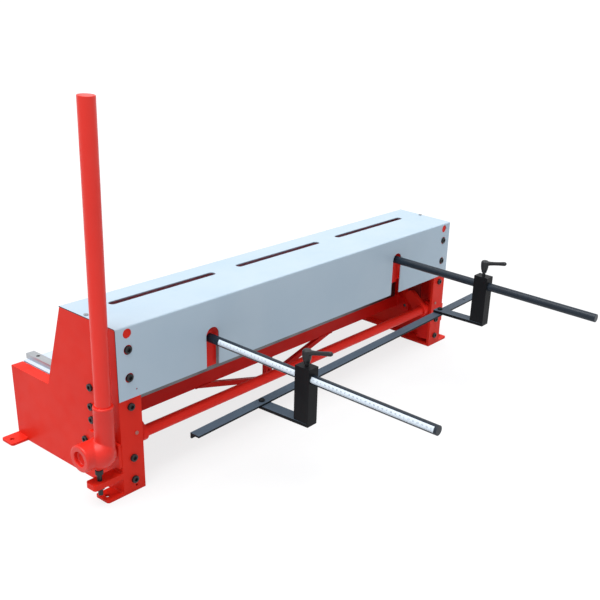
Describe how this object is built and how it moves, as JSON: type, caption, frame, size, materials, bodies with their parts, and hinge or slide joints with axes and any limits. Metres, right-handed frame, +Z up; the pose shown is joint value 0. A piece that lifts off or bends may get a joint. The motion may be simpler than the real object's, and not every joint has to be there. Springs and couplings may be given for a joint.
{
  "type": "guillotine_shear",
  "caption": "Hand lever guillotine shear for sheet metal, bench model: two side frames, raked upper blade on a lever driven beam, sheet cover, back gauge on two rods.",
  "frame": {"origin": "on the floor, at the centre of the four foot bolt holes", "axes": "+X along the cut toward the lever side, +Y away from the operator toward the back gauge, +Z up"},
  "size_m": [1.272, 0.966, 0.8044],
  "materials": {
    "red_paint": "satin",
    "dark_red_paint": "satin",
    "grey_paint": "satin",
    "table_grey": "satin",
    "tool_steel": "ground",
    "ground_steel": "ground",
    "blued_steel": "blued",
    "black_oxide": "black oxide",
    "zinc": "zinc plated",
    "white_scale": "white enamel",
    "black_plastic": "moulded"
  },
  "bodies": {
    "frame": {"side_frame_near": "red_paint", "side_frame_far": "red_paint", "bed_beam": "dark_red_paint", "bed_truss": "dark_red_paint", "front_rail": "dark_red_paint", "table_plate": "table_grey", "lower_blade": "tool_steel", "lower_blade_screws": "black_oxide", "squaring_bar": "ground_steel", "squaring_bar_screws": "black_oxide", "cover": "grey_paint", "cover_screws": "zinc", "guide_block_near": "dark_red_paint", "guide_block_far": "dark_red_paint", "bearing_block_near": "dark_red_paint", "bearing_block_far": "dark_red_paint", "bush_near": "red_paint", "bush_far": "red_paint", "flange_bolts": "black_oxide", "side_bolts": "black_oxide", "oil_plugs": "zinc", "stop_screw": "black_oxide", "stop_nut": "black_oxide"},
    "blade_slide": {"blade_beam": "red_paint", "upper_blade": "tool_steel", "upper_blade_screws": "black_oxide", "rod_near": "blued_steel", "rod_far": "blued_steel", "rod_nuts": "black_oxide", "scale_strip": "white_scale", "link_top_pins": "ground_steel"},
    "lever_shaft": {"torsion_shaft": "red_paint", "crank_near": "red_paint", "crank_far": "red_paint", "shaft_collar": "red_paint", "lever_hub": "red_paint", "lever_tube": "red_paint", "lever_plug": "dark_red_paint"},
    "link_a": {"link_near": "ground_steel"},
    "link_b": {"link_far": "ground_steel"},
    "back_gauge": {"gauge_block_near": "black_oxide", "gauge_block_far": "black_oxide", "gauge_arm_near": "blued_steel", "gauge_arm_far": "blued_steel", "stop_bar": "blued_steel", "stop_bar_screws": "black_oxide"},
    "clamp_a": {"clamp_lever_near": "black_plastic", "clamp_stud_near": "zinc"},
    "clamp_b": {"clamp_lever_far": "black_plastic", "clamp_stud_far": "zinc"}
  },
  "joints": [
    {"name": "lever_swing", "type": "hinge", "parent": "frame", "child": "lever_shaft", "pos_m": [0.6, 0.164, 0.112], "axis": [1, 0, 0], "range_deg": [0, 84]},
    {"name": "beam_travel", "type": "slide", "parent": "frame", "child": "blade_slide", "axis": [0, 0, -1], "range_m": [0, 0.0669]},
    {"name": "link_a_swing", "type": "hinge", "parent": "lever_shaft", "child": "link_a", "pos_m": [0.519, 0.12684, 0.14546], "axis": [1, 0, 0], "range_deg": [-84, 0]},
    {"name": "link_b_swing", "type": "hinge", "parent": "lever_shaft", "child": "link_b", "pos_m": [-0.519, 0.12684, 0.14546], "axis": [1, 0, 0], "range_deg": [-84, 0]},
    {"name": "gauge_travel", "type": "slide", "parent": "blade_slide", "child": "back_gauge", "axis": [0, 1, 0], "range_m": [-0.14, 0.285]},
    {"name": "clamp_a_turn", "type": "hinge", "parent": "back_gauge", "child": "clamp_a", "pos_m": [0.329, 0.458, 0.32], "axis": [0, 0, 1], "range_deg": [-90, 90]},
    {"name": "clamp_b_turn", "type": "hinge", "parent": "back_gauge", "child": "clamp_b", "pos_m": [-0.329, 0.458, 0.35], "axis": [0, 0, 1], "range_deg": [-90, 90]}
  ],
  "couplings": [
    {"joint": "beam_travel", "follows": "lever_swing", "m_per_rad": 0.045632},
    {"joint": "link_a_swing", "follows": "lever_swing", "ratio": -1},
    {"joint": "link_b_swing", "follows": "lever_swing", "ratio": -1}
  ]
}
